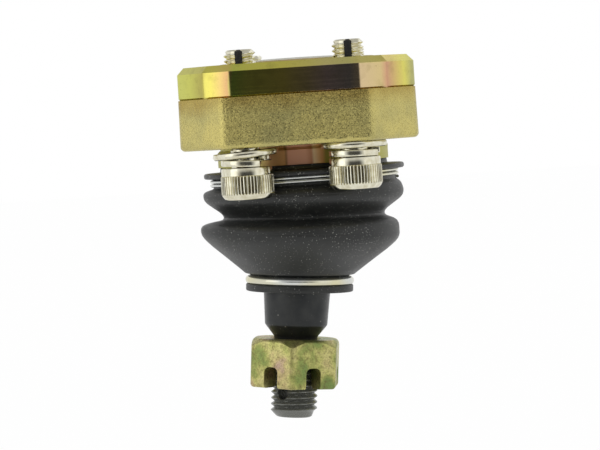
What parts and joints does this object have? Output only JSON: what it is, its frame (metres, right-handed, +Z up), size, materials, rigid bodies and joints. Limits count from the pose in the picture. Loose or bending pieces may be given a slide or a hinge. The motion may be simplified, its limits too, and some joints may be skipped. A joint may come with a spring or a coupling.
{
  "type": "suspension ball joint",
  "caption": "Clamp-on suspension ball joint: a tapered ball stud with a slotted nut swings and turns in a round body held by a screwed two-part housing, under a two-fold rubber boot.",
  "frame": {"origin": "centre of the clamp plate's top face, on the housing's axis and midway between the four screws", "axes": "+Z up the housing's axis away from the stud, +X along the short side of the screw rectangle, -Y the front"},
  "size_m": [0.0598, 0.0784, 0.0962],
  "materials": {
    "yellow_zinc_machined": "bright yellow zinc chromate over milled steel",
    "yellow_zinc_cast": "yellow zinc chromate over a sand-cast skin",
    "copper_chromate": "brownish chromate over turned steel",
    "grey_zinc": "satin",
    "spring_steel": "oiled",
    "bearing_plastic": "greased",
    "nickel_plate": "bright",
    "black_nylon": "satin",
    "boot_rubber": "dusty matte",
    "bright_wire": "drawn",
    "black_phosphate": "oiled black",
    "yellow_zinc_forged": "iridescent yellow zinc chromate over a forged skin"
  },
  "bodies": {
    "root": {"clamp_plate": "yellow_zinc_machined", "housing": "yellow_zinc_cast", "joint_body": "copper_chromate", "retaining_ring": "spring_steel", "upper_bearing": "bearing_plastic", "lower_bearing": "bearing_plastic", "preload_spring": "spring_steel", "closing_cap": "grey_zinc", "boot_clip_upper": "bright_wire", "cap_screw_front_left": "nickel_plate", "lock_strip_front_left": "black_nylon", "lock_washer_front_left": "nickel_plate", "flat_washer_front_left": "nickel_plate", "cap_screw_front_right": "nickel_plate", "lock_strip_front_right": "black_nylon", "lock_washer_front_right": "nickel_plate", "flat_washer_front_right": "nickel_plate", "cap_screw_rear_left": "nickel_plate", "lock_strip_rear_left": "black_nylon", "lock_washer_rear_left": "nickel_plate", "flat_washer_rear_left": "nickel_plate", "cap_screw_rear_right": "nickel_plate", "lock_strip_rear_right": "black_nylon", "lock_washer_rear_right": "nickel_plate", "flat_washer_rear_right": "nickel_plate"},
    "boot": {"dust_boot": "boot_rubber"},
    "boot_ring": {"boot_ring_lower": "bright_wire"},
    "stud": {"ball_stud": "black_phosphate", "castle_nut": "yellow_zinc_forged"}
  },
  "joints": [
    {"name": "swing_side", "type": "hinge", "parent": "root", "child": "boot", "pos_m": [0, 0, -0.01717], "axis": [0, 1, 0], "range_deg": [-20, 10], "deforming": ["dust_boot"]},
    {"name": "swing_fore", "type": "hinge", "parent": "boot", "child": "boot_ring", "pos_m": [0, 0, -0.01717], "axis": [1, 0, 0], "range_deg": [-15, 15]},
    {"name": "stud_spin", "type": "hinge", "parent": "boot_ring", "child": "stud", "pos_m": [0, 0, -0.01717], "axis": [0.0906, 0, 0.9959], "continuous": true}
  ]
}
